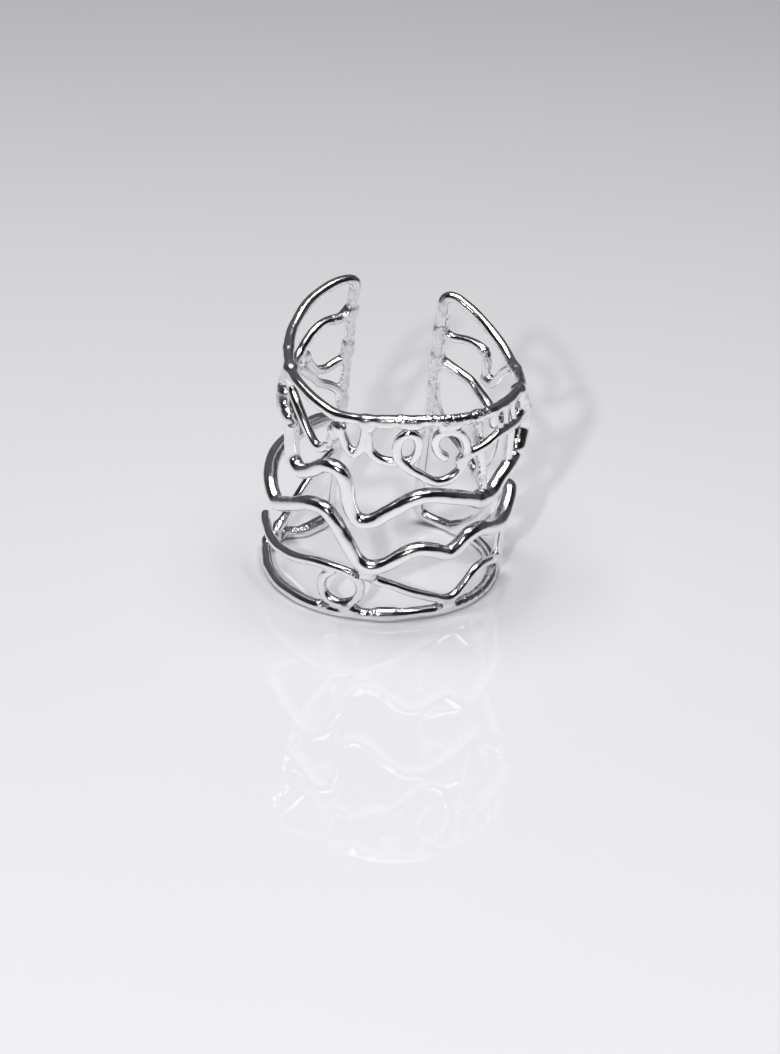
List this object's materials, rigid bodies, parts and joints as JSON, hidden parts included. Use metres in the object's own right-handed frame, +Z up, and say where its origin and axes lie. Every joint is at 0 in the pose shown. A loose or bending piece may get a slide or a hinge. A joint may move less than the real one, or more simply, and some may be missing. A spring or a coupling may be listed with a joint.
{
  "type": "open cuff ring",
  "caption": "Open finger ring of freehand silver wire: waves, scrolls and short ties soldered between an upper and a lower rim that end at upright posts.",
  "frame": {"origin": "middle of the box that holds the ring, on the table that it stands on", "axes": "+Z up off the table, roughly along the finger; the front faces -Y and the gap between the end posts faces +Y"},
  "size_m": [0.0218, 0.0234, 0.0253],
  "materials": {
    "silver": "polished silver wire with melted solder joints"
  },
  "bodies": {
    "root": {"cuff": "silver"}
  },
  "joints": []
}
